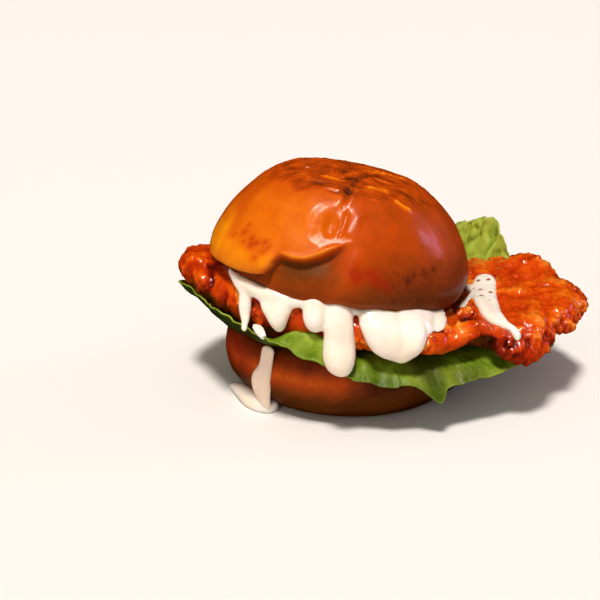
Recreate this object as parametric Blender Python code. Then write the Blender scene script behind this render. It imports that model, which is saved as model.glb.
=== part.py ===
"""A fried chicken burger: a bun heel, two lettuce leaves, a sauced fillet, white sauce and a domed crown.

The origin is the middle of the heel's flat foot, with +Z up. The front, where the sauce runs down,
faces -Y, and the fillet's long wing reaches out along +X. Angles are counted from +X towards +Y.
"""

import math

import bmesh
import bpy
from mathutils import Matrix, Vector

MM = 0.001
GAP = 0.4 * MM  # left between pieces that touch

# Heel
HEEL_HEIGHT = 27.0 * MM
HEEL_FOOT_RADIUS = 41.5 * MM
HEEL_SIDE_RADIUS = 52.5 * MM
HEEL_SIDE_HEIGHT = 16.0 * MM
HEEL_CUT_RADIUS = 48.5 * MM
HEEL_CUT_CENTRE_DIP = 0.6 * MM
HEEL_FOOT_SHARES = (0.55, 0.97)  # rings of the flat foot, as shares of its radius
HEEL_CUT_SHARES = (0.7, 0.35)  # rings of the cut face
HEEL_TOE = 0.4 * MM  # how far the rounding of the foot's edge starts above the ground
HEEL_UNEVEN = {"share": 0.012, "lobes": 3, "turn": 40.0}  # the side is a little out of round

# Crown: a dome that leans to the right, its cut face on the sauce
CROWN_CENTRE = Vector((-6.7, 0.0)) * MM
CROWN_HEIGHT = 46.3 * MM
CROWN_PROFILE = (  # radius and height in mm, up its side from the cut face to near its flattened top
    (51, 0.3), (53.2, 2.5), (54, 6), (53.6, 11), (51, 18), (46.5, 25.5), (41, 32.5), (34, 38.5),
    (24, 43), (13, 45.3),
)
CROWN_LEAN = 1.6 * MM  # how far the middle of its side is pushed to the right
CROWN_CUT_HEIGHT = 44.5 * MM  # of the cut face over the origin
CROWN_FALL_X = 0.165  # the cut face falls this much for each unit along +X
CROWN_FALL_Y = 0.10
CROWN_CUT_SHARES = (0.5, 0.96)  # rings of the cut face, as shares of its radius
DIMPLE = {"degrees": 261.5, "height": 27.0 * MM, "radius": 9.0 * MM, "depth": 2.4 * MM}
FOLD = {"degrees": 253.0, "half_width": 16.0, "height": 14.0 * MM, "depth": 2.6 * MM, "foot": 3.0 * MM}
FOLD_LIP = 0.3  # share of the fold's height over which its lip curls in

# Fillet: polar about its own centre
FILLET_CENTRE = Vector((12.0, -3.0)) * MM
FILLET_EDGE = 8.0 * MM  # how far in its rim is rounded
FILLET_OUTLINE = (  # x, y in mm, anticlockwise from the wing's tip
    (100.5, 0), (96, 13), (91, 24), (86, 34), (79, 36), (70, 35), (60, 37), (48, 38), (34, 42),
    (14, 46), (-8, 46), (-30, 42), (-48, 34), (-61, 25), (-68, 14), (-73, 1), (-67, -10),
    (-59, -20), (-50, -30), (-38, -40), (-26, -47), (-12, -50.5), (2, -51.5), (16, -52), (28, -51),
    (38, -48), (47, -44.5), (54, -42), (62, -42.5), (70, -40), (77, -35), (82, -28), (87, -22),
    (93, -17), (95, -9),
)
WING_TOP = 40.0 * MM
WING_TOP_RISE_Y = 0.07
FILLET_RIM, WING_RIM = 0.5, 0.3  # how far up its side the fillet is widest
WING_START, WING_FULL = 48.0 * MM, 63.0 * MM  # from the crown's middle, where the wing rises beside it
FILLET_LIFT = 3 * GAP  # over the leaves, whose ruffles rise under it
FILLET_BELOW = (0.35, 0.6, 0.78, 0.88, 0.95, 0.99)  # rings of its underside, as shares of its radius
FILLET_ABOVE = (1.0, 0.98, 0.94, 0.87, 0.78, 0.68, 0.58, 0.48, 0.38, 0.2)
FILLET_LUMPS = (  # x, y, rise and radius in mm: the curl, the left knob and bumps on the wing
    (48, -40, 5.5, 5), (-63, -8, 1.5, 8), (-64, 10, 3.5, 8), (80, 27, 2.5, 9), (91, 2, 1.5, 8),
    (74, -30, 1.5, 8), (88, -14, 2.0, 6),
)

# Lettuce: height of a leaf's middle surface over the heel, and its thickness
LEAF_THICKNESS = 1.0 * MM
LEAF_LEVEL = HEEL_HEIGHT + GAP + LEAF_THICKNESS / 2
LEAF_ROOT_RADIUS = 46.0 * MM  # beyond it the leaf bends up or down
LEAF_INNER_RADIUS = 6.0 * MM
LEAF_MIDDLE_SHARE = 0.6  # of the root radius, where the flat part has one row more
LEAF_RUFFLE_START = 0.6  # share of the way to the rim where its waves begin
HUMP_UP, HUMP_DOWN = (0.0, 0.5), (1.0, 0.6)  # shares between which a hump rises and falls again
LEAF_MARGIN = 9.0  # degrees past a leaf's sides over which the fillet still clears it
FRONT_LEAF = {
    "first": 176.0, "last": 380.0, "bend": 2.0, "ruffle": 0.5 * MM, "waves": 15,
    "hump": {"degrees": 256.0, "half_width": 11.0, "rise": 7.0 * MM},  # pressed up between root and rim
    "rim": (  # degrees, radius and height in mm
        (176, 70, 38.5), (182, 72.5, 41), (189, 67.5, 42), (197, 65, 42), (206, 63.5, 41.5),
        (216, 61.5, 40.5), (226, 61, 39.5), (236, 60.5, 38), (246, 59.5, 35.5), (254, 58, 31),
        (261, 57.5, 28), (268, 57.5, 25), (277, 59, 22.5), (286, 61, 20.5), (293, 62, 21),
        (298, 65, 16.5), (301.5, 67, 14.5), (305, 66, 18.5), (312, 67.5, 19.5), (320, 71, 21),
        (330, 77, 22.5), (340, 83, 23.4), (350, 85, 24.5), (360, 82, 26), (370, 76, 27.5),
        (380, 66, 28),
    ),
}
BACK_LEAF = {
    "first": 26.0, "last": 168.0, "bend": 4.0, "ruffle": 0.8 * MM, "waves": 13,
    "hump": None,
    "rim": (
        (26, 82, 34), (30, 82.5, 41), (33, 82.5, 50), (38, 81, 55), (44, 77.5, 56), (51, 72, 52),
        (60, 68, 44), (71, 64, 35), (84, 61, 27), (98, 60, 23), (112, 61, 21.5), (128, 60, 24),
        (142, 62, 28), (155, 65, 32), (168, 66, 35),
    ),
}

# White sauce: a slab under the crown whose front edge runs down over the fillet
SAUCE_THICKNESS = 2.0 * MM
SAUCE_SKIRT_THICKNESS = 2.8 * MM
SAUCE_SKIRT_LEAN = 0.22  # outwards for each unit down
SAUCE_HIDDEN_RADIUS = 40.0 * MM
SAUCE_FRONT = (220.0, 309.0)  # degrees about the crown's centre, where it reaches the edge
SAUCE_SKIRT = 3.0 * MM  # how far the edge hangs between runs
SAUCE_LIP = 0.6 * MM  # the outside hangs lower than the inside by this
SAUCE_HIDDEN_HANG = 0.1 * MM
SAUCE_HIDDEN_LIP = 0.3 * MM
SAUCE_CLEARANCE = 2.5 * GAP  # between the skirt and the fillet's edge
SAUCE_FADE = 6.0  # degrees over which the skirt starts and ends
SAUCE_FINE_MARGIN = 8.0  # degrees past the skirt with spokes as close as along it
SAUCE_RUNS = (  # degrees, half width in degrees, length in mm
    (231, 4.5, 11), (246.5, 7.5, 11), (261, 5.5, 11), (273, 7, 26.5), (290, 11.8, 18),
    (305.5, 4, 4),
)
SAUCE_STEP_FRONT, SAUCE_STEP_BACK = 1.8, 12.0  # degrees between its spokes
PATCH_CENTRE = Vector((55.5, -20.0)) * MM
PATCH_THICKNESS = 1.5 * MM
PATCH_LIFT = 1.0 * MM  # over the fillet, whose facets are coarser than the patch's
PATCH_OUTLINE = (  # x, y in mm, anticlockwise from the side away from the crown
    (60, -17), (60.6, -10), (61.5, -3), (61.5, 4.5), (60, 10.5), (57.5, 13), (55, 13), (53.5, 9),
    (52.5, 2), (51, -5), (50, -12), (48.5, -18), (51, -23), (53, -31), (56.5, -35.5), (61, -37),
    (65, -39), (63, -32.5), (59.6, -26),
)

SHARP_ANGLE = 50.0  # degrees between faces that are shaded apart
BUN_SPOKES = 48
FILLET_SPOKES = 72
PATCH_SPOKES = 36
LEAF_STEP = 4.0  # degrees between a leaf's spokes
LEAF_ROWS = 6  # steps between where a leaf bends and its rim

COLOURS = {  # linear RGB and roughness
    "heel": ((0.50, 0.19, 0.03), 0.4),
    "crown": ((0.62, 0.22, 0.03), 0.3),
    "lettuce_front": ((0.25, 0.42, 0.05), 0.45),
    "lettuce_back": ((0.33, 0.50, 0.09), 0.45),
    "fillet": ((0.68, 0.13, 0.012), 0.3),
    "white_sauce": ((0.93, 0.82, 0.68), 0.25),
    "sauce_patch": ((0.93, 0.82, 0.68), 0.25),
}


def smooth_step(low, high, value):
    share = min(1.0, max(0.0, (value - low) / (high - low)))
    return share * share * (3 - 2 * share)


def mix(first, second, share):
    return first + (second - first) * share


def cubic_between(before, first, second, after, share):
    """A smooth curve through four evenly counted values, from first to second."""
    bend = 2 * before - 5 * first + 4 * second - after
    twist = 3 * (first - second) + after - before
    return first + 0.5 * share * (second - before + share * (bend + share * twist))


def read_table(rows, degrees, loops):
    """The values of a table of (degrees, value, ...) rows at an angle, on a smooth curve through its rows."""
    count = len(rows)
    if loops:
        degrees = rows[0][0] + (degrees - rows[0][0]) % 360
        rows = rows + tuple((row[0] + 360, *row[1:]) for row in rows[:2])
        before_first = (rows[count - 1][0] - 360, *rows[count - 1][1:])
    else:
        before_first = rows[0]
    last = len(rows) - 2
    at = max((i for i in range(last + 1) if rows[i][0] <= degrees), default=0)
    four = [
        rows[at - 1] if at else before_first,
        rows[at],
        rows[at + 1],
        rows[at + 2] if at < last else rows[at + 1],
    ]
    share = min(1.0, (degrees - four[1][0]) / (four[2][0] - four[1][0]))
    return [cubic_between(*values, share) for values in list(zip(*four))[1:]]


def polar_table(outline, centre):
    """A closed outline of (x, y) in mm as (degrees, radius) rows about a centre."""
    rows = []
    for x, y in outline:
        offset = Vector((x, y)) * MM - centre
        rows.append((math.degrees(math.atan2(offset.y, offset.x)) % 360, offset.length))
    return tuple(sorted(rows))


FILLET_RADII = polar_table(FILLET_OUTLINE, FILLET_CENTRE)
FILLET_RADII_FROM_CROWN = polar_table(FILLET_OUTLINE, CROWN_CENTRE)
PATCH_RADII = polar_table(PATCH_OUTLINE, PATCH_CENTRE)


def direction(degrees):
    return Vector((math.cos(math.radians(degrees)), math.sin(math.radians(degrees))))


def crown_cut_height(x, y):
    """Height of the crown's cut face over a point of the ground plane."""
    return CROWN_CUT_HEIGHT - CROWN_FALL_X * x - CROWN_FALL_Y * y


def leaf_rim(leaf, degrees):
    radius, height = read_table(leaf["rim"], degrees, loops=False)
    return radius * MM, height * MM


def leaf_height(leaf, degrees, radius):
    """Height of a leaf's middle surface: flat on the heel, then bending towards its rim."""
    rim_radius, rim_height = leaf_rim(leaf, degrees)
    share = max(0.0, (radius - LEAF_ROOT_RADIUS) / (rim_radius - LEAF_ROOT_RADIUS))
    height = LEAF_LEVEL + (rim_height - LEAF_LEVEL) * share ** leaf["bend"]
    if leaf["hump"]:
        aside = (degrees - leaf["hump"]["degrees"]) / leaf["hump"]["half_width"]
        swell = smooth_step(*HUMP_UP, share) * smooth_step(*HUMP_DOWN, share)
        height += leaf["hump"]["rise"] * math.exp(-aside * aside) * swell
    return height


def lettuce_height(x, y):
    """Height of the leaves under a point, carried on a little past their rims and sides."""
    degrees = math.degrees(math.atan2(y, x)) % 360
    radius = math.hypot(x, y)
    heights = [LEAF_LEVEL]
    for leaf in (FRONT_LEAF, BACK_LEAF):
        for turned in (degrees, degrees + 360):
            nearest = min(max(turned, leaf["first"]), leaf["last"])
            if abs(nearest - turned) < LEAF_MARGIN:
                reach = min(radius, leaf_rim(leaf, nearest)[0])
                heights.append(leaf_height(leaf, nearest, reach))
    return max(heights)


def fillet_top(x, y):
    """The fillet's upper surface, away from its rim: level with the sauce, then rising into the wing."""
    sheltered = crown_cut_height(x, y) - 2 * GAP - SAUCE_THICKNESS
    wing = WING_TOP + WING_TOP_RISE_Y * y
    beside = smooth_step(WING_START, WING_FULL, math.hypot(x - CROWN_CENTRE.x, y - CROWN_CENTRE.y))
    height = mix(sheltered, wing, beside * smooth_step(0, WING_START, x))
    for lump_x, lump_y, rise, radius in FILLET_LUMPS:
        away = math.hypot(x - lump_x * MM, y - lump_y * MM) / (radius * MM)
        height += rise * MM * math.exp(-away * away)
    return height


def fillet_bottom(x, y):
    return lettuce_height(x, y) + LEAF_THICKNESS / 2 + FILLET_LIFT


def closed_body(name, rings, bottom, top):
    """One closed body from a point at the bottom, rings of points, and a point at the top."""
    mesh = bmesh.new()
    loops = [[mesh.verts.new(point) for point in ring] for ring in rings]
    foot, head = mesh.verts.new(bottom), mesh.verts.new(top)
    count = len(rings[0])
    for spoke in range(count):
        following = (spoke + 1) % count
        mesh.faces.new((foot, loops[0][following], loops[0][spoke]))
        mesh.faces.new((head, loops[-1][spoke], loops[-1][following]))
        for lower, upper in zip(loops, loops[1:]):
            mesh.faces.new((lower[spoke], lower[following], upper[following], upper[spoke]))
    return finished_object(name, mesh)


def finished_object(name, mesh):
    """Makes a named object of a bmesh, shaded smooth, with the piece's own material."""
    data = bpy.data.meshes.new(name)
    mesh.to_mesh(data)
    mesh.free()
    data.shade_smooth()
    data.set_sharp_from_angle(angle=math.radians(SHARP_ANGLE))
    colour, roughness = COLOURS[name]
    material = bpy.data.materials.new(name)
    material.use_nodes = True
    shader = material.node_tree.nodes["Principled BSDF"]
    shader.inputs["Base Color"].default_value = (*colour, 1.0)
    shader.inputs["Roughness"].default_value = roughness
    shader.inputs["Metallic"].default_value = 0.0
    data.materials.append(material)
    piece = bpy.data.objects.new(name, data)
    bpy.context.scene.collection.objects.link(piece)
    return piece


def heel_profile():
    """(radius, height) pairs from the foot's edge, round the bulging side, to near the cut face's middle."""
    pairs = [(HEEL_FOOT_RADIUS * share, 0.0) for share in HEEL_FOOT_SHARES]
    for step in range(5):
        turn = math.radians(90 * step / 4)
        pairs.append((
            mix(HEEL_FOOT_RADIUS, HEEL_SIDE_RADIUS, math.sin(turn)),
            max(HEEL_TOE, HEEL_SIDE_HEIGHT * (1 - math.cos(turn))),
        ))
    for step in range(1, 5):
        turn = math.radians(90 * step / 4)
        pairs.append((
            mix(HEEL_CUT_RADIUS, HEEL_SIDE_RADIUS, math.cos(turn)),
            mix(HEEL_SIDE_HEIGHT, HEEL_HEIGHT, math.sin(turn)),
        ))
    for step, share in enumerate(HEEL_CUT_SHARES, start=1):
        dip = HEEL_CUT_CENTRE_DIP * step / len(HEEL_CUT_SHARES)
        pairs.append((HEEL_CUT_RADIUS * share, HEEL_HEIGHT - dip))
    return pairs


def build_heel():
    rings = []
    for radius, height in heel_profile():
        ring = []
        for spoke in range(BUN_SPOKES):
            degrees = 360 * spoke / BUN_SPOKES
            out = direction(degrees)
            wave = math.sin(math.radians(HEEL_UNEVEN["lobes"] * degrees + HEEL_UNEVEN["turn"]))
            uneven = 1 + HEEL_UNEVEN["share"] * wave * height / HEEL_HEIGHT
            ring.append((radius * uneven * out.x, radius * uneven * out.y, height))
        rings.append(ring)
    top = HEEL_HEIGHT - HEEL_CUT_CENTRE_DIP
    return closed_body("heel", rings, (0, 0, 0), (0, 0, top))


def crown_profile():
    """(radius, height) pairs over the cut face, from near its middle, round the rim, to near the top."""
    side = [(radius * MM, height * MM) for radius, height in CROWN_PROFILE]
    cut_radius = side[0][0]
    return [*((cut_radius * share, 0.0) for share in CROWN_CUT_SHARES), *side]


def crown_dent(degrees, radius, height):
    """How far the crust is pulled in by the dimple at the front and by the fold beside it."""
    across = math.radians((degrees - DIMPLE["degrees"] + 180) % 360 - 180) * radius
    away = math.hypot(across, height - DIMPLE["height"]) / DIMPLE["radius"]
    dent = DIMPLE["depth"] * math.exp(-away * away)
    aside = abs((degrees - FOLD["degrees"] + 180) % 360 - 180) / FOLD["half_width"]
    if aside < 1 and height < FOLD["height"]:
        tuck = smooth_step(0, FOLD_LIP, 1 - height / FOLD["height"])
        dent += FOLD["depth"] * tuck * (1 - aside * aside) * min(1, height / FOLD["foot"])
    return dent


def build_crown():
    rings = []
    for radius, height in crown_profile():
        ring = []
        for spoke in range(BUN_SPOKES):
            degrees = 360 * spoke / BUN_SPOKES
            out = direction(degrees) * (radius - crown_dent(degrees, radius, height))
            lean = CROWN_LEAN * math.sin(math.pi * height / CROWN_HEIGHT)
            ring.append((out.x + lean, out.y, height))
        rings.append(ring)
    crown = closed_body("crown", rings, (0, 0, 0), (0, 0, CROWN_HEIGHT))
    up = Vector((CROWN_FALL_X, CROWN_FALL_Y, 1.0)).normalized()
    side = Vector((1.0, 0.0, -CROWN_FALL_X)).normalized()
    crown.rotation_mode = "QUATERNION"
    crown.rotation_quaternion = Matrix((side, up.cross(side), up)).transposed().to_quaternion()
    crown.location = (*CROWN_CENTRE, crown_cut_height(*CROWN_CENTRE))
    return crown


def fillet_ring(share, upper):
    """Points of the fillet's upper or lower surface at a share of the way out from its centre."""
    ring = []
    for spoke in range(FILLET_SPOKES):
        degrees = 360 * spoke / FILLET_SPOKES
        radius = read_table(FILLET_RADII, degrees, loops=True)[0]
        x, y = FILLET_CENTRE + direction(degrees) * radius * share
        low, high = fillet_bottom(x, y), fillet_top(x, y)
        rim = mix(low, high, mix(FILLET_RIM, WING_RIM, smooth_step(0, WING_FULL, x)))
        inwards = radius * (1 - share) / FILLET_EDGE
        swell = math.sqrt(1 - (1 - min(1.0, inwards)) ** 2)
        ring.append((x, y, mix(rim, high if upper else low, swell)))
    return ring


def build_fillet():
    rings = [fillet_ring(share, upper=False) for share in FILLET_BELOW]
    rings += [fillet_ring(share, upper=True) for share in FILLET_ABOVE]
    x, y = FILLET_CENTRE
    return closed_body("fillet", rings, (x, y, fillet_bottom(x, y)), (x, y, fillet_top(x, y)))


def build_leaf(name, leaf):
    """A sheet from near the middle of the heel to the leaf's rim, given its thickness by Solidify."""
    mesh = bmesh.new()
    spokes = round((leaf["last"] - leaf["first"]) / LEAF_STEP)
    rows = []
    for spoke in range(spokes + 1):
        degrees = mix(leaf["first"], leaf["last"], spoke / spokes)
        rim_radius = leaf_rim(leaf, degrees)[0]
        radii = [LEAF_INNER_RADIUS, LEAF_ROOT_RADIUS * LEAF_MIDDLE_SHARE]
        radii += [mix(LEAF_ROOT_RADIUS, rim_radius, step / LEAF_ROWS) for step in range(LEAF_ROWS + 1)]
        row = []
        for radius in radii:
            out = direction(degrees) * radius
            reach = (radius - LEAF_ROOT_RADIUS) / (rim_radius - LEAF_ROOT_RADIUS)
            near_rim = smooth_step(LEAF_RUFFLE_START, 1.0, reach)
            wave = leaf["ruffle"] * near_rim * math.sin(math.radians(leaf["waves"] * degrees))
            row.append(mesh.verts.new((out.x, out.y, leaf_height(leaf, degrees, radius) + wave)))
        rows.append(row)
    for left, right in zip(rows, rows[1:]):
        for step in range(len(left) - 1):
            mesh.faces.new((left[step], left[step + 1], right[step + 1], right[step]))
    sheet = finished_object(name, mesh)
    thickness = sheet.modifiers.new("thickness", "SOLIDIFY")
    thickness.thickness = LEAF_THICKNESS
    thickness.offset = 0.0
    return sheet


def run_length(degrees):
    """How far the white sauce hangs at an angle about the fillet's centre."""
    length = SAUCE_SKIRT
    for middle, half_width, reach in SAUCE_RUNS:
        aside = abs(degrees - middle) / half_width
        if aside < 1:
            length = max(length, mix(SAUCE_SKIRT, reach * MM, (1 - aside ** 3.5) ** 0.5))
    return length


def sauce_outline(degrees):
    """The sauce's radius about the crown's centre, and how much of a skirt it has there, from 0 to 1."""
    first, last = SAUCE_FRONT
    skirt = smooth_step(first - SAUCE_FADE, first, degrees)
    skirt *= 1 - smooth_step(last, last + SAUCE_FADE, degrees)
    edge = read_table(FILLET_RADII_FROM_CROWN, degrees, loops=True)[0] + SAUCE_CLEARANCE
    return mix(SAUCE_HIDDEN_RADIUS, edge, skirt), skirt


def sauce_spokes():
    """Angles of the sauce's spokes, close together where it runs down the front."""
    degrees, angles = 0.0, []
    while degrees < 360:
        angles.append(degrees)
        at_front = SAUCE_FRONT[0] - SAUCE_FINE_MARGIN <= degrees <= SAUCE_FRONT[1] + SAUCE_FINE_MARGIN
        degrees += SAUCE_STEP_FRONT if at_front else SAUCE_STEP_BACK
    return angles


def build_sauce():
    """Rings go out under the slab, down inside the skirt, round its lip, up outside and back over the slab."""
    plan = [("under", 0.5), ("under", 0.9)]
    plan += [("inside", step / 4) for step in range(4)]
    plan += [("outside", 1 - step / 5) for step in range(6)]
    plan += [("over", 0.9), ("over", 0.5)]
    rings = [[] for _ in plan]
    for degrees in sauce_spokes():
        edge, skirt = sauce_outline(degrees)
        out = direction(degrees)
        hang = mix(SAUCE_HIDDEN_HANG, run_length(degrees), skirt)
        for ring, (part, share) in zip(rings, plan):
            reach = edge * share if part in ("under", "over") else edge
            if part in ("inside", "outside"):
                reach += SAUCE_SKIRT_LEAN * hang * share
            if part == "outside":
                bulge = math.sin(math.pi * (0.18 + 0.72 * share)) ** 0.5
                reach += mix(SAUCE_LIP, SAUCE_SKIRT_THICKNESS, skirt) * bulge
            x, y = CROWN_CENTRE + out * reach
            height = crown_cut_height(x, y) - GAP
            if part in ("under", "inside"):
                height -= SAUCE_THICKNESS
            if part == "inside":
                height -= max(0.0, hang - SAUCE_THICKNESS) * share
            if part == "outside":
                height -= mix(SAUCE_HIDDEN_LIP, hang + SAUCE_LIP, share)
            ring.append((x, y, height))
    x, y = CROWN_CENTRE
    top = crown_cut_height(x, y) - GAP
    return closed_body("white_sauce", rings, (x, y, top - SAUCE_THICKNESS), (x, y, top))


def build_patch():
    """The white sauce that lies on the wing, following the fillet's surface."""
    plan = [(0.4, 0), (0.75, 0), (0.95, 0), (1.0, 0.35), (0.93, 0.8), (0.75, 1), (0.4, 1)]
    rings = []
    for share, lift in plan:
        ring = []
        for spoke in range(PATCH_SPOKES):
            degrees = 360 * spoke / PATCH_SPOKES
            radius = read_table(PATCH_RADII, degrees, loops=True)[0]
            x, y = PATCH_CENTRE + direction(degrees) * radius * share
            ring.append((x, y, fillet_top(x, y) + PATCH_LIFT + PATCH_THICKNESS * lift))
        rings.append(ring)
    x, y = PATCH_CENTRE
    base = fillet_top(x, y) + PATCH_LIFT
    return closed_body("sauce_patch", rings, (x, y, base), (x, y, base + PATCH_THICKNESS))


def main():
    for old in list(bpy.data.objects):
        bpy.data.objects.remove(old)
    build_heel()
    build_leaf("lettuce_front", FRONT_LEAF)
    build_leaf("lettuce_back", BACK_LEAF)
    build_fillet()
    build_sauce()
    build_patch()
    build_crown()


main()
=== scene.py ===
import math

import bmesh
import bpy
import numpy as np
from mathutils import Matrix, Vector
from mathutils.bvhtree import BVHTree


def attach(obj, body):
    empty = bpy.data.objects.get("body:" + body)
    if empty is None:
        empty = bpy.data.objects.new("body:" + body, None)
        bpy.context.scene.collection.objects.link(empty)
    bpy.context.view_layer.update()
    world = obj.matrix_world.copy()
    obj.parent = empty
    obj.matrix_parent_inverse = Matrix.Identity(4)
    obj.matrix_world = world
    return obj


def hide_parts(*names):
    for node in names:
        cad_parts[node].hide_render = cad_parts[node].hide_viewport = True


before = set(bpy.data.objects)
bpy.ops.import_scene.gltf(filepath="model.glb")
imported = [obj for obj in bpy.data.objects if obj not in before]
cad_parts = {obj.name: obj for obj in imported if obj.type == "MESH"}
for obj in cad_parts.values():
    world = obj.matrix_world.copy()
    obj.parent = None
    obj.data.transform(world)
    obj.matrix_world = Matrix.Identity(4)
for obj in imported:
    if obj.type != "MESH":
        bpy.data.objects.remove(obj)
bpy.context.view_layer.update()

mm = 0.001  # every size below is in millimetres, and meshes are written in metres


# general helpers


def say(stage):
    print("burger:", stage)


def ease(low, high, value):  # 0 at low, 1 at high, smooth between
    share = np.clip((value - low) / (high - low), 0.0, 1.0)
    return share * share * (3 - 2 * share)


def blendOf(first, second, share):
    return first + (second - first) * share


def smoothLine(points, count):  # a smooth curve through the points, read at even distances
    points = np.array(points, float)
    ends = (2 * points[0] - points[1], 2 * points[-1] - points[-2])
    padded = np.vstack([ends[0], points, ends[1]])
    fine = []
    for at in range(len(points) - 1):
        before, first, second, after = padded[at:at + 4]
        for share in np.linspace(0, 1, 24, endpoint=False):
            bend = 2 * before - 5 * first + 4 * second - after
            twist = 3 * (first - second) + after - before
            fine.append(first + 0.5 * share * (second - before + share * (bend + share * twist)))
    fine = np.vstack([fine, points[-1]])
    along = np.concatenate([[0], np.cumsum(np.linalg.norm(np.diff(fine, axis=0), axis=1))])
    wanted = np.linspace(0, along[-1], count)
    return np.column_stack([np.interp(wanted, along, fine[:, axis]) for axis in range(fine.shape[1])])


def noiseOf(points, size, seed=0):  # smooth gradient noise, about -1 to 1, with features of this size
    place = points / np.asarray(size, float) + 31.7 * seed
    cell = np.floor(place).astype(np.int64)
    part = place - cell
    fade = part ** 3 * (part * (part * 6 - 15) + 10)
    directions = np.random.default_rng(7).normal(size=(256, 3))
    directions /= np.linalg.norm(directions, axis=1, keepdims=True)
    total = np.zeros(len(points))
    for corner in np.ndindex(2, 2, 2):
        key = (cell + corner) @ np.array([73856093, 19349663, 83492791]) + 1013 * seed
        key = (key ^ (key >> 13)) * 1274126177
        slope = directions[(key ^ (key >> 16)) & 255]
        weight = np.prod(np.where(corner, fade, 1 - fade), axis=1)
        total += weight * ((part - corner) * slope).sum(axis=1)
    return total * 1.7


def lumpsOf(points, size, seed=0):  # rounded lumps with sharp creases between them, 0 to about 1
    return np.abs(noiseOf(points, size, seed)) * 1.6


def strokeOf(points, line, width, power=2.0):  # 1 on a line through space, fading to 0 away from it and at its ends
    line = np.asarray(line, float)
    nearest = np.full(len(points), 1e9)
    along = np.zeros(len(points))
    count = len(line) - 1
    for at in range(count):
        start, step = line[at], line[at + 1] - line[at]
        share = np.clip((points - start) @ step / (step @ step), 0, 1)
        away = np.linalg.norm(points - start - share[:, None] * step, axis=1)
        closer = away < nearest
        nearest[closer] = away[closer]
        along[closer] = (at + share[closer]) / count
    taper = ease(0, 0.18, along) * ease(0, 0.18, 1 - along)
    return np.exp(-(nearest / (width * (0.35 + 0.65 * taper))) ** power) * (0.25 + 0.75 * taper)


def gridFaces(rows, columns, closed):  # quads of a grid of points, row after row
    row, column = np.meshgrid(np.arange(rows - 1), np.arange(columns if closed else columns - 1), indexing="ij")
    row, column = row.ravel(), column.ravel()
    following = (column + 1) % columns
    corners = (row * columns + column, row * columns + following,
               (row + 1) * columns + following, (row + 1) * columns + column)
    return np.column_stack(corners).tolist()


def shellFaces(rings, spokes):  # a closed shell of rings, with one point more at each end
    first, last = rings * spokes, rings * spokes + 1
    faces = gridFaces(rings, spokes, closed=True)
    for spoke in range(spokes):
        following = (spoke + 1) % spokes
        faces.append((first, following, spoke))
        top = (rings - 1) * spokes
        faces.append((last, top + spoke, top + following))
    return faces


def makePiece(name, points, faces, material, masks=None):
    mesh = bpy.data.meshes.new(name)
    mesh.from_pydata((np.asarray(points) * mm).tolist(), [], faces)
    mesh.update()
    mesh.shade_smooth()
    piece = bpy.data.objects.new(name, mesh)
    bpy.context.scene.collection.objects.link(piece)
    mesh.materials.append(material)
    for mask, values in (masks or {}).items():
        setMask(piece, mask, values)
    return piece


def setMask(piece, mask, values):  # one value for each point of the mesh, for its material to read
    attribute = piece.data.attributes.get(mask) or piece.data.attributes.new(mask, "FLOAT", "POINT")
    attribute.data.foreach_set("value", np.asarray(values, np.float32))


def pointsOf(piece):
    flat = np.empty(len(piece.data.vertices) * 3)
    piece.data.vertices.foreach_get("co", flat)
    return flat.reshape(-1, 3) / mm


def normalsOf(piece):
    flat = np.empty(len(piece.data.vertices) * 3)
    piece.data.vertex_normals.foreach_get("vector", flat)
    return flat.reshape(-1, 3)


def movePoints(piece, points):
    piece.data.vertices.foreach_set("co", (points * mm).ravel())
    piece.data.update()


def applyModifiers(piece):
    graph = bpy.context.evaluated_depsgraph_get()
    finished = bpy.data.meshes.new_from_object(piece.evaluated_get(graph))
    piece.modifiers.clear()
    old, piece.data = piece.data, finished
    finished.name = piece.name
    bpy.data.meshes.remove(old)


def place(piece, slot, *nodes):  # the piece rides on the burger, and stands for its CAD solid
    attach(piece, "root")
    if nodes:
        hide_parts(*nodes)


# material helpers


def hexColour(code):  # an sRGB hex code as linear values
    channels = [int(code[at:at + 2], 16) / 255 for at in (1, 3, 5)]
    return (*[c / 12.92 if c <= 0.04045 else ((c + 0.055) / 1.055) ** 2.4 for c in channels], 1.0)


def addNode(material, kind, values=None, links=None, stops=None, **settings):
    node = material.node_tree.nodes.new("ShaderNode" + kind)
    for setting, value in settings.items():
        setattr(node, setting, value)
    for socket, value in (values or {}).items():
        node.inputs[socket].default_value = value
    for socket, source in (links or {}).items():
        material.node_tree.links.new(source, node.inputs[socket])
    for at, (position, code) in enumerate(stops or []):
        elements = node.color_ramp.elements
        element = elements[at] if at < 2 else elements.new(position)
        element.position = position
        element.color = hexColour(code)
    return node


def newMaterial(name, **surface):  # a material with its Principled shader's sockets set
    material = bpy.data.materials.new(name)
    material.use_nodes = True
    shader = material.node_tree.nodes["Principled BSDF"]
    for socket, value in surface.items():
        shader.inputs[socket.replace("_", " ")].default_value = value
    return material, shader


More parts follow.
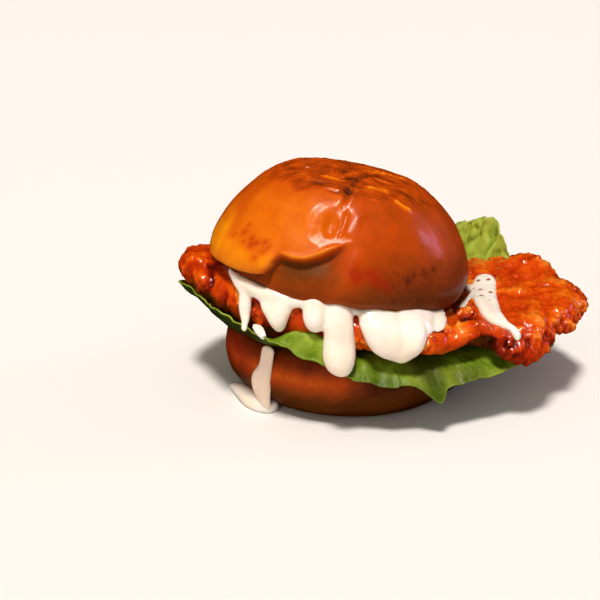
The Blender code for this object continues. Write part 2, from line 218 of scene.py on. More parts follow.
def eggWashedCrust():  # brioche crust brushed with egg: a thin clear gloss over browned dough, dull where it is floury
    look = {
        "golden": "#EC9C0C", "amber": "#D9700A", "orange": "#BE4E04", "chestnut": "#944006", "dark": "#662A07",
        "scorched": "#3E1603", "blush": "#A02402", "shaded": "#623A02", "mottleSize": 5.0, "speckleSize": 1.4,
        "poreSize": 0.8,
    }
    material, shader = newMaterial("eggWashedCrust", Roughness=0.4, IOR=1.45, Specular_IOR_Level=0.2,
                                   Coat_Roughness=0.19, Coat_IOR=1.45)
    place = addNode(material, "TexCoord").outputs["Object"]
    # the bake mask is real browning, with painted shade and painted highlights added into it
    bakeAndPaintedLight = addNode(material, "Attribute", attribute_name="bakeAndPaintedLight").outputs["Fac"]
    red = addNode(material, "Attribute", attribute_name="red").outputs["Fac"]
    grain = addNode(material, "Attribute", attribute_name="grain").outputs["Fac"]
    mottle = addNode(material, "TexNoise", {"Scale": 1 / (look["mottleSize"] * mm), "Detail": 6.0, "Roughness": 0.62},
                     {"Vector": place})
    speckle = addNode(material, "TexNoise", {"Scale": 1 / (look["speckleSize"] * mm), "Detail": 2.0},
                      {"Vector": place})
    centred = addNode(material, "Math", {1: 0.5}, {0: mottle.outputs["Fac"]}, operation="SUBTRACT")
    mottled = addNode(material, "Math", {1: 0.20}, {0: centred.outputs[0], 2: bakeAndPaintedLight}, operation="MULTIPLY_ADD")
    dots = addNode(material, "Math", {1: 0.5}, {0: speckle.outputs["Fac"]}, operation="SUBTRACT")
    strength = addNode(material, "Math", {1: 0.26, 2: 0.06}, {0: grain}, operation="MULTIPLY_ADD")
    level = addNode(material, "Math", None, {0: dots.outputs[0], 1: strength.outputs[0], 2: mottled.outputs[0]},
                    operation="MULTIPLY_ADD")
    crust = addNode(material, "ValToRGB", None, {"Fac": level.outputs[0]}, stops=[
        (0.0, look["golden"]), (1.0, look["scorched"]), (0.24, look["amber"]), (0.45, look["orange"]),
        (0.65, look["chestnut"]), (0.85, look["dark"]),
    ])
    blushed = addNode(material, "MixRGB", {"Color2": hexColour(look["blush"])},
                      {"Fac": red, "Color1": crust.outputs["Color"]})
    # painted shade: this mask mixes the olive shaded colour in under the crown's lip, round the buns' feet and on the
    # heel's folded-under side
    tuckedShade = addNode(material, "Attribute", attribute_name="tuckedShade").outputs["Fac"]
    doughAndShade = addNode(material, "MixRGB", {"Color2": hexColour(look["shaded"])},
                     {"Fac": tuckedShade, "Color1": blushed.outputs["Color"]})
    pores = addNode(material, "TexNoise", {"Scale": 1 / (look["poreSize"] * mm), "Detail": 3.0}, {"Vector": place})
    depth = addNode(material, "Math", {1: 0.35, 2: 0.12}, {0: grain}, operation="MULTIPLY_ADD")
    bump = addNode(material, "Bump", {"Distance": 0.25 * mm},
                   {"Height": pores.outputs["Fac"], "Strength": depth.outputs[0]})
    dull = addNode(material, "Math", {1: 0.2, 2: 0.38}, {0: grain}, operation="MULTIPLY_ADD")
    pooled = addNode(material, "Attribute", attribute_name="pooled").outputs["Fac"]
    wetter = addNode(material, "Math", {1: -0.06}, {0: pooled, 2: dull.outputs[0]}, operation="MULTIPLY_ADD")
    washed = addNode(material, "Math", {1: -0.28, 2: 0.30}, {0: tuckedShade}, operation="MULTIPLY_ADD")
    thicker = addNode(material, "Math", {1: -0.2}, {0: pooled, 2: washed.outputs[0]}, operation="MULTIPLY_ADD")
    for socket, source in (("Base Color", doughAndShade.outputs["Color"]), ("Normal", bump.outputs["Normal"]),
                           ("Roughness", wetter.outputs[0]), ("Coat Weight", thicker.outputs[0])):
        material.node_tree.links.new(source, shader.inputs[socket])
    return material


def hotSauceCrust():  # fried coating soaked in a chilli and butter sauce: wet gloss over orange, dark red in its folds
    look = {
        "crease": "#4A0E02", "shade": "#A62E03", "body": "#D04C05", "raised": "#E0660A", "crisp": "#EE9434",
        "patchSize": 11.0, "speckSize": 2.4, "grainSize": 1.3,
    }
    material, shader = newMaterial("hotSauceCrust", Roughness=0.3, IOR=1.45, Specular_IOR_Level=0.35,
                                   Coat_Weight=0.9, Coat_Roughness=0.07, Coat_IOR=1.5)
    place = addNode(material, "TexCoord").outputs["Object"]
    # this mask also carries painted shade in crevices, under the curl and on faces the crown shades
    reliefAndShade = addNode(material, "Attribute", attribute_name="reliefAndShade").outputs["Fac"]
    wrinkled = addNode(material, "Attribute", attribute_name="wrinkled").outputs["Fac"]
    level = reliefAndShade
    for size, strength in ((look["patchSize"], 0.45), (look["speckSize"], 0.42)):
        noise = addNode(material, "TexNoise", {"Scale": 1 / (size * mm), "Detail": 5.0, "Roughness": 0.6},
                        {"Vector": place})
        centred = addNode(material, "Math", {1: 0.5}, {0: noise.outputs["Fac"]}, operation="SUBTRACT")
        level = addNode(material, "Math", {1: strength}, {0: centred.outputs[0], 2: level},
                        operation="MULTIPLY_ADD").outputs[0]
    coat = addNode(material, "ValToRGB", None, {"Fac": level}, stops=[
        (0.02, look["crease"]), (0.86, look["crisp"]), (0.26, look["shade"]), (0.46, look["body"]),
        (0.62, look["raised"]),
    ])
    drawn = addNode(material, "VectorMath", {1: (1.0, 0.6, 1.0)}, {0: place}, operation="MULTIPLY")
    grain = addNode(material, "TexNoise", {"Scale": 1 / (look["grainSize"] * mm), "Detail": 3.0},
                    {"Vector": drawn.outputs["Vector"]})
    depth = addNode(material, "Math", {1: 0.6, 2: 0.25}, {0: wrinkled}, operation="MULTIPLY_ADD")
    bump = addNode(material, "Bump", {"Distance": 0.85 * mm},
                   {"Height": grain.outputs["Fac"], "Strength": depth.outputs[0]})
    material.node_tree.links.new(coat.outputs["Color"], shader.inputs["Base Color"])
    material.node_tree.links.new(bump.outputs["Normal"], shader.inputs["Normal"])
    return material


def freshLeaf():  # green leaf lettuce: a moist blade, yellower along its veins and torn rim, with painted shade where it turns away and painted shadows from the fillet
    look = {
        "deep": "#3A5408", "blade": "#6C8416", "pale": "#AEC04C", "rim": "#B4C06A", "under": "#262E04",
        "cloudSize": 7.0, "cellSize": 1.3,
    }
    material, shader = newMaterial("freshLeaf", Roughness=0.48, IOR=1.4, Specular_IOR_Level=0.35,
                                   Coat_Weight=0.06, Coat_Roughness=0.3)
    place = addNode(material, "TexCoord").outputs["Object"]
    pale, rim, under = [addNode(material, "Attribute", attribute_name=mask).outputs["Fac"]
                        for mask in ("pale", "rim", "under")]
    clouds = addNode(material, "TexNoise", {"Scale": 1 / (look["cloudSize"] * mm), "Detail": 6.0, "Roughness": 0.65},
                     {"Vector": place})
    centred = addNode(material, "Math", {1: 0.5}, {0: clouds.outputs["Fac"]}, operation="SUBTRACT")
    level = addNode(material, "Math", {1: 0.9}, {0: centred.outputs[0], 2: pale}, operation="MULTIPLY_ADD")
    blade = addNode(material, "ValToRGB", None, {"Fac": level.outputs[0]}, stops=[
        (0.0, look["deep"]), (1.0, look["pale"]), (0.45, look["blade"]),
    ])
    # painted shade and painted shadows: the under mask darkens the blade towards the under colour
    shaded = addNode(material, "MixRGB", {"Color2": hexColour(look["under"])},
                     {"Fac": under, "Color1": blade.outputs["Color"]})
    edged = addNode(material, "MixRGB", {"Color2": hexColour(look["rim"])},
                    {"Fac": rim, "Color1": shaded.outputs["Color"]})
    cells = addNode(material, "TexVoronoi", {"Scale": 1 / (look["cellSize"] * mm)}, {"Vector": place})
    bump = addNode(material, "Bump", {"Strength": 0.3, "Distance": 0.3 * mm}, {"Height": cells.outputs["Distance"]})
    material.node_tree.links.new(edged.outputs["Color"], shader.inputs["Base Color"])
    material.node_tree.links.new(bump.outputs["Normal"], shader.inputs["Normal"])
    return material


# the crown: a dome that leans, with a wrinkled top, a dimple, a fold and a pale lobe where it met its neighbour


crown = {
    "centre": (-6.7, 0.0), "cutHeight": 44.5, "fallX": 0.165, "fallY": 0.10, "lean": 1.6, "height": 46.3,
    "profile": (  # radius and height from the middle of the cut face round to the top
        (0, 0.3), (20, 0.3), (40, 0.1), (48.5, 0), (51, 0.3), (53.2, 2.5), (54, 6), (53.6, 11), (51, 18),
        (46.5, 25.5), (41, 32.5), (34, 38.5), (24, 43), (13, 45.3), (0, 46.3),
    ),
    "rings": 190, "spokes": 440,
    # degrees round the crown and height, along the lip of the fold and of the pale lobe at its left
    "lip": (
        (186, 2.0), (196, 3.2), (214, 3.4), (226, 3.8), (233.5, 4.6), (238, 6.2), (240.6, 9.4), (241.4, 12.4),
        (243, 14.4), (248, 14.2), (252.6, 14.7), (257, 16.6), (262.4, 19.6), (268, 22.6), (274, 23.6),
    ),
    "tuck": 3.4,  # how far the crust under the lip is drawn in
    # the dimple: a flat place where egg wash pooled, with a pit and folds of skin in it
    "dimple": {"degrees": 260.5, "height": 28.0, "flat": 9.8, "pit": (2.7, 4.4), "depth": 1.2},
    # height (or depth, below 0) and width of each fold, and its line in degrees and height
    "folds": (
        (0.3, 2.0, ((252.4, 23.4), (251.6, 27.0), (252.8, 30.6), (255.8, 33.2), (259.6, 34.4), (263.6, 33.8))),
        (0.28, 0.8, ((263.4, 32.0), (262.2, 30.2), (262.0, 28.0), (263.2, 25.4))),
        (-0.6, 0.9, ((267.2, 34.0), (266.8, 30.4), (266.0, 27.0), (264.8, 24.4))),
        (0.5, 2.6, ((267.6, 25.0), (269.5, 27.6), (271.4, 30.4), (274.3, 32.3), (277.4, 31.6))),
    ),
    # a crease climbs from the dimple over the wrinkled top
    "crease": ((264.8, 34.2), (265.3, 36.7), (266.3, 38.7), (268.2, 40.6), (272.5, 42.9), (283.5, 44.3), (311, 45.4)),
    "branch": ((231.6, 39.0), (243, 40.2), (253.2, 40.3), (264.1, 40.0), (268, 40.8)),
    "wrinkleRidges": (
        (0.6, 0.95, ((238.8, 42.4), (251.7, 42.4), (264.8, 42.1))),
        (0.6, 0.95, ((278.5, 41.8), (288.9, 41.2), (297.2, 40.1))),
        (0.5, 0.9, ((297.4, 45.4), (337.4, 44.7), (352.4, 43.2))),
        (0.6, 1.2, ((296.6, 38.9), (301.7, 37.0), (307.5, 35.6))),
    ),
}


def onCrown(degrees, height):  # a point of the plain dome, in the crown's own frame
    profile = smoothLine(crown["profile"], 400)
    outer = profile[np.argmax(profile[:, 0]):]
    radius = np.interp(height, outer[:, 1], outer[:, 0])
    turn = np.radians(degrees)
    return np.column_stack([radius * np.cos(turn), radius * np.sin(turn), np.broadcast_to(height, np.shape(turn))])


def crownFrame():  # the crown's own axes, as columns, and its origin
    up = np.array([crown["fallX"], crown["fallY"], 1.0])
    up /= np.linalg.norm(up)
    side = np.array([1.0, 0.0, -crown["fallX"]])
    side /= np.linalg.norm(side)
    x, y = crown["centre"]
    origin = np.array([x, y, crown["cutHeight"] - crown["fallX"] * x - crown["fallY"] * y])
    return np.column_stack([side, np.cross(up, side), up]), origin


def crownLine(stops):  # a smooth line over the dome through stops of degrees and height
    return smoothLine(np.vstack([onCrown([degrees], height) for degrees, height in stops]), 6 * len(stops))


def crownSpot(points, degrees, height, size):  # 1 on a spot of the dome, fading to 0 at about its size
    away = np.linalg.norm(points - onCrown([degrees], height)[0], axis=1) / size
    return np.exp(-away ** 2)


def crownRelief(plain, degrees, height, crust):  # how far the crust stands out, and what its colour needs
    push = 0.8 * noiseOf(plain, 26, 1) + 0.3 * noiseOf(plain, 10, 2) + 0.05 * noiseOf(plain, 1.8, 9)
    dimple = crown["dimple"]
    sideways = np.radians(degrees - dimple["degrees"]) * np.hypot(plain[:, 0], plain[:, 1])
    upwards = (height - dimple["height"]) * 1.25
    away = np.hypot(sideways, upwards)
    pooled = (height > 10) * ease(0, 1, dimple["flat"] - away)
    push -= (height > 10) * np.clip(dimple["flat"] ** 2 - away ** 2, 0, None) / 100
    pit = (sideways / dimple["pit"][0]) ** 2 + (upwards / dimple["pit"][1]) ** 2
    push -= dimple["depth"] * np.exp(-pit ** 2) * (height > 10)
    for rise, width, stops in crown["folds"]:
        push += rise * strokeOf(plain, crownLine(stops), width)

    # the flattened top is wrinkled in lines that run from side to side
    top = ease(36.3, 39.6, height + 1.6 * noiseOf(plain, 13, 3) + 0.9 * noiseOf(plain, 4, 14))
    warped = plain + 1.6 * np.column_stack([noiseOf(plain, 13, seed) for seed in (4, 5, 6)])
    turned = warped @ np.array([[0.98, 0.17, 0], [-0.17, 0.98, 0], [0, 0, 1]])
    valley = 1 - np.clip(np.abs(noiseOf(turned, (14, 2.9, 12), 7)) * 3.2, 0, 1)
    ridge = 1 - np.clip(np.abs(noiseOf(turned, (12, 2.1, 12), 15)) * 3.6, 0, 1)
    fine = noiseOf(turned, (8, 1.1, 8), 8)
    facing = 0.7 - 0.3 * np.sin(np.radians(degrees))  # 1 at the front, 0.4 at the back
    push += top * facing * (0.50 * ridge ** 1.6 - 0.50 * valley ** 1.4 + 0.16 * fine)
    # the ridge lines below also carry a painted highlight, kept as shine
    shine = np.zeros(len(plain))
    for rise, width, stops in crown["wrinkleRidges"]:
        stroke = strokeOf(plain, crownLine(stops), width)
        push += rise * stroke
        shine = np.maximum(shine, stroke)
    crease = crownLine(crown["crease"])
    groove = strokeOf(plain, crease, 1.2)
    push += 0.5 * strokeOf(plain, crease + [2.2, 0.4, 0], 1.4) + 0.5 * strokeOf(plain, crease - [2.2, 0.4, 0], 1.4)
    branch = strokeOf(plain, crownLine(crown["branch"]), 0.9)
    push -= np.maximum(0.7 * groove, 0.4 * branch)

    # the lip stands out, and the crust under it is drawn in
    lip = np.array(crown["lip"], float)
    lipHeight = np.interp(degrees, lip[:, 0], lip[:, 1])
    below = lipHeight - height
    inside = ease(186, 200, degrees) * (1 - ease(262, 275, degrees))
    tuck = inside * ease(-0.4, 1.9, below) * blendOf(1.0, 0.5, ease(2, 13, below))
    push -= crown["tuck"] * tuck * ease(-1.5, 2.0, height)
    # this line along the lip also carries a painted highlight
    edge = strokeOf(plain, crownLine(lip[7:14]) + [0, 0, 0.7], 0.75)
    push += 0.7 * strokeOf(plain, crownLine(lip[7:14]) + [0, 0, 0.7], 1.2)
    rolled = strokeOf(plain, crownLine(lip[1:6]) + [0, 0, 0.9], 1.6)
    lobe = ease(188, 204, degrees) * (1 - ease(238, 243.5, degrees)) * (1 - ease(8, 20, height)) * (below < 1.5)
    push += 1.3 * lobe * ease(-2.2, 2.5, -below)
    return push * crust, {"top": top, "valley": valley * facing, "ridge": ridge * facing, "groove": np.maximum(groove, 0.7 * branch),
                          "tuck": tuck, "pooled": pooled, "edge": np.maximum(edge, 0.5 * rolled), "shine": shine}


def crownBakeAndPaintedLight(plain, degrees, height, crust, reliefAndShade):  # how dark each place is baked, with painted shade and painted highlights added in, 0 pale to 1 scorched
    # darker all round but at the left front
    bakeAndPaintedLight = blendOf(0.37, 0.52, 1 - ease(150, 190, degrees) * (1 - ease(258, 288, degrees)))
    bakeAndPaintedLight = blendOf(bakeAndPaintedLight, 0.26, ease(200, 215, degrees) * (1 - ease(246, 266, degrees)) * ease(13, 20, height)
                   * (1 - ease(29, 37, height)))
    low = (1 - ease(7, 27, height)) * (1 - ease(160, 195, degrees) * (1 - ease(262, 300, degrees)))
    bakeAndPaintedLight = blendOf(bakeAndPaintedLight, 0.76, low)
    # from the pale lobe upwards
    edge = np.interp(degrees, [190, 202, 212, 228, 236, 242], [26, 22, 16, 12.5, 14, 16])
    pale = ease(176, 196, degrees) * (1 - ease(239, 243, degrees)) * (1 - ease(-5, 4, height - edge))
    # the pale lobe darkens towards its lower edge: painted shade
    doughAndShade = 0.09 + 0.05 * ease(-12, 0, height - edge) + 0.20 * ease(10, 3, height) + 0.10 * noiseOf(plain, 7, 17)
    bakeAndPaintedLight = blendOf(bakeAndPaintedLight, doughAndShade, pale)
    # dark speckles where the pale lobe ends
    for degree, level, size in ((234.0, 16.8, 1.4), (230.4, 15.6, 1.2), (220.0, 17.2, 1.5), (228.5, 14.0, 1.7),
                                (235.8, 13.4, 1.4), (233.3, 10.3, 1.3), (219.7, 20.4, 1.3), (215.0, 15.0, 1.1),
                                (226.5, 16.6, 1.0), (237.0, 15.6, 1.0), (223.4, 14.2, 0.9)):
        bakeAndPaintedLight += 0.18 * crownSpot(plain, degree, level, size)
    bakeAndPaintedLight += 0.16 * crownSpot(plain, 306, 15.7, 1.8) + 0.14 * crownSpot(plain, 297.2, 13.0, 2.0)
    bakeAndPaintedLight += 0.12 * crownSpot(plain, 300.5, 15.0, 1.3) + 0.12 * crownSpot(plain, 310.5, 17.0, 1.5)
    bakeAndPaintedLight += 0.12 * crownSpot(plain, 268, 10.0, 2.6) + 0.10 * crownSpot(plain, 262, 9.0, 2.0)
    # painted shade in the recess under the lip, and a painted highlight along the lip's line
    bakeAndPaintedLight = blendOf(bakeAndPaintedLight, blendOf(0.58, 0.72, ease(238, 250, degrees)), reliefAndShade["tuck"])
    bakeAndPaintedLight -= 0.22 * reliefAndShade["edge"] * (1 - reliefAndShade["tuck"])
    # painted shade in the wrinkle valleys and along the crease, painted highlights on the wrinkle ridges and the
    # bright ridge lines
    top = reliefAndShade["top"]
    bakeAndPaintedLight = blendOf(bakeAndPaintedLight, 0.58 + 0.14 * reliefAndShade["valley"] - 0.24 * reliefAndShade["ridge"] + 0.14 * noiseOf(plain, 5, 16), top)
    bakeAndPaintedLight += 0.16 * reliefAndShade["groove"] + 0.04 * noiseOf(plain, 8, 12) - 0.46 * reliefAndShade["shine"]
    return blendOf(0.0, bakeAndPaintedLight, crust)


def makeCrown(material):
    rings, spokes = crown["rings"], crown["spokes"]
    profile = smoothLine(crown["profile"], rings + 2)
    slope = np.gradient(profile, axis=0)
    degrees = np.append(np.tile(np.arange(spokes) * 360 / spokes, rings), [270.0, 270.0])
    ring = np.append(np.repeat(np.arange(1, rings + 1), spokes), [0, rings + 1])
    radius, height = profile[ring, 0], profile[ring, 1]
    turn = np.radians(degrees)
    plain = np.column_stack([radius * np.cos(turn), radius * np.sin(turn), height])
    across, rise = slope[ring, 1], -slope[ring, 0]
    normal = np.column_stack([across * np.cos(turn), across * np.sin(turn), rise])
    normal /= np.hypot(across, rise)[:, None]

    crust = np.where(height < 12, ease(46, 51, radius), 1.0)  # 0 on the cut face
    push, reliefAndShade = crownRelief(plain, degrees, height, crust)
    push += (1 - crust) * 0.35 * lumpsOf(plain, 2.5, 11)  # open crumb of the cut face
    points = plain + normal * push[:, None]
    points[:, 0] += crown["lean"] * np.sin(np.pi * np.clip(height, 0, 46) / crown["height"])
    sag = ease(290, 312, degrees) * (1 - ease(328, 352, degrees))
    sag += 1.2 * ease(236, 246, degrees) * (1 - ease(262, 272, degrees))
    points[:, 2] -= 1.6 * sag * ease(9, 0, height) * ease(40, 50, radius)
    axes, origin = crownFrame()

    red = np.zeros(len(plain))
    for degree, level, size in ((274, 14.5, 3.6), (275.5, 11.5, 3), (281.7, 14.5, 3.4), (284, 11.5, 3.0),
                                (287.4, 10.5, 2.6), (289.5, 8.5, 2.2)):
        red += 0.7 * crownSpot(plain, degree, level, 0.85 * size)
    red *= np.clip(0.75 + 0.8 * noiseOf(plain, 3, 13), 0, 1)
    rightwards = 1 - ease(150, 190, degrees) * (1 - ease(276, 300, degrees))
    grain = np.clip(rightwards * (1 - ease(12, 30, height)) + 0.5 * reliefAndShade["tuck"], 0, 1)
    # painted shade: under the lip and round the foot, except at the front left, the crust turns to the olive shaded
    # colour
    foot = 0.5 * (1 - ease(160, 195, degrees) * (1 - ease(264, 276, degrees))) * ease(12, 4, height)
    piece = makePiece("crownBun", points @ axes.T + origin, shellFaces(rings, spokes), material, {
        "bakeAndPaintedLight": crownBakeAndPaintedLight(plain, degrees, height, crust, reliefAndShade),
        "red": np.clip(red, 0, 0.65),
        "grain": grain * crust,
        "pooled": reliefAndShade["pooled"],
        "tuckedShade": 0.85 * crust * np.clip(reliefAndShade["tuck"] * (1 - ease(12, 17, height))
                                         * blendOf(0.6, 1.0, ease(238, 250, degrees)) + foot, 0, 1),
    })
    place(piece, "bun", "crown")
    return piece


# the heel: the flat half of the bun


heel = {
    "height": 27.0,
    "profile": (  # radius and height from the middle of the foot round to the middle of the cut face
        (0, 0), (25, 0), (38, 0), (41.2, 0.15), (45.5, 1.6), (49.8, 5.5), (52.1, 11), (52.5, 16), (51.8, 21),
        (50.3, 25), (48.3, 26.9), (44, 27), (25, 26.6), (0, 26.4),
    ),
    "rings": 130, "spokes": 340,
}


def makeHeel(material):
    rings, spokes = heel["rings"], heel["spokes"]
    profile = smoothLine(heel["profile"], rings + 2)
    slope = np.gradient(profile, axis=0)
    degrees = np.append(np.tile(np.arange(spokes) * 360 / spokes, rings), [270.0, 270.0])
    ring = np.append(np.repeat(np.arange(1, rings + 1), spokes), [0, rings + 1])
    radius, height = profile[ring, 0], profile[ring, 1]
    turn = np.radians(degrees)
    plain = np.column_stack([radius * np.cos(turn), radius * np.sin(turn), height])
    length = np.hypot(slope[ring, 0], slope[ring, 1])
    normal = np.column_stack([slope[ring, 1] * np.cos(turn), slope[ring, 1] * np.sin(turn), -slope[ring, 0]])
    normal /= length[:, None]

    side = ease(0.3, 4, height) * ease(44, 49.5, radius)
    push = side * (0.8 * noiseOf(plain, 24, 21) + 0.35 * noiseOf(plain, 9, 22) + 0.08 * noiseOf(plain, 2, 23))
    # the side folds under to the right of the front, and leaves a slanting crease
    crease = np.array([(-8, -50, 6.0), (-1, -52, 10.5), (5, -52, 13), (13, -50.8, 15), (21, -48.2, 17.2), (31, -42, 18)])
    line = smoothLine(crease, 20)
    push -= 0.9 * strokeOf(plain, line, 1.3) * side
    level = np.interp(degrees, [262, 270, 284, 294, 307], [5, 11, 15, 17, 18])
    under = ease(264, 272, degrees) * (1 - ease(318, 345, degrees)) * ease(0, 2.5, level - height)
    push -= 0.8 * under * side
    cut = ease(26.2, 26.7, height) * (1 - ease(47, 48.6, radius))
    push += 0.35 * cut * (lumpsOf(plain, 2.6, 24) - 0.8)

    bakeAndPaintedLight = 0.37 + 0.12 * noiseOf(plain, 9, 25) + 0.42 * ease(17, 25, height)
    # painted shade: darker on the right side, where the side folds under, and towards the foot
    bakeAndPaintedLight = blendOf(bakeAndPaintedLight, 0.92, ease(262, 284, degrees) * (1 - ease(330, 360, degrees)) * ease(2, 10, height))
    bakeAndPaintedLight = blendOf(bakeAndPaintedLight, 0.82, under)
    low = 1 - ease(7, 19, height)
    bakeAndPaintedLight = blendOf(bakeAndPaintedLight, 0.88, low)
    bakeAndPaintedLight = blendOf(bakeAndPaintedLight, 0.0, cut)
    red = 0.75 * ease(188, 200, degrees) * (1 - ease(212, 226, degrees)) * ease(8, 14, height)
    red += 0.6 * ease(21.5, 25.5, height) * ease(190, 205, degrees) * (1 - ease(262, 285, degrees))
    red *= np.clip(0.8 + 0.6 * noiseOf(plain, 6, 26), 0, 1)
    # painted shade: the olive shaded colour on the folded-under side, the top of the side and the foot
    piece = makePiece("heelBun", plain + normal * push[:, None], shellFaces(rings, spokes), material,
                      {"bakeAndPaintedLight": bakeAndPaintedLight, "red": np.clip(red, 0, 1), "grain": 0.35 * (1 - cut),
                       "tuckedShade": 0.6 * np.maximum(np.maximum(under * ease(1, 4, height), ease(23, 26, height) * side),
                                                  0.9 * low)})
    place(piece, "bun", "heel")
    return piece


# the fillet: its CAD solid remeshed, with the lumps and crags of fried batter raised on it


fillet = {
    "voxel": 0.65,
    "lumps": (  # x, y, z of a lump's middle, its radius and how far it stands out
        (34, -50, 38, 5, 1.5), (58, -42, 29, 5, 2.6), (67, -40, 27, 6, 3.6), (77, -34, 28, 6, 3.0), (46, -44, 41, 4, 1.0),
        (-63, 0, 50, 9, 1.6), (-60, -16, 44, 7, 2.0), (-49, -28, 46, 7, 1.4), (80, 26, 40, 8, 1.5),
        (94, -6, 34, 6, 1.5), (88, -22, 31, 5, 2.2), (62, 25, 40, 7, 1.2), (30, -49, 33, 5, 1.2),
    ),
    "folds": (  # height (or depth, below 0) and width of each fold or crevice, and the line it follows
        (2.2, 2.2, ((43.5, -27, 39.0), (45.5, -19, 38.6), (49.0, -15, 38.8), (51.0, -20, 39.2), (50.4, -29, 39.0),
                    (50.6, -37, 39.4))),
        (-3.0, 2.6, ((46.6, -23, 38.2), (46.4, -29, 38.6), (45.6, -37, 39.2))),
        (1.4, 1.8, ((49.5, -39, 40.0), (54.7, -41.5, 37.4), (60.8, -42.0, 36.0), (66.0, -40.5, 35.4))),
        (-2.6, 2.4, ((49.0, -44.0, 34.6), (52.5, -43.4, 33.4), (55.5, -42.6, 31.4))),
        (-2.0, 1.7, ((-57.2, -9.5, 53.4), (-56.4, -16.0, 51.8), (-55.8, -21.6, 49.4), (-54.8, -25.2, 45.4))),
        (1.0, 1.2, ((-60.2, -17.5, 49.6), (-58.6, -20.6, 48.4), (-57.4, -22.4, 46.0))),
        (-1.6, 1.4, ((84.0, -25.5, 33.4), (85.6, -20.6, 35.6), (89.6, -17.5, 35.2))),
        (0.9, 1.0, ((70.5, -15.0, 39.4), (72.0, -19.6, 39.2), (75.0, -19.5, 39.0), (76.0, -14.0, 39.2))),
        (0.8, 0.9, ((70.0, 8.5, 41.0), (72.6, 3.0, 40.6), (75.6, -1.0, 40.4), (77.4, -5.0, 40.2))),
        (0.8, 1.0, ((79.0, -25.0, 37.0), (81.8, -27.0, 36.0), (84.4, -25.0, 35.6))),
        (0.7, 0.9, ((65.6, 11.5, 41.2), (69.0, 9.0, 41.0), (71.6, 6.6, 40.8))),
    ),
}


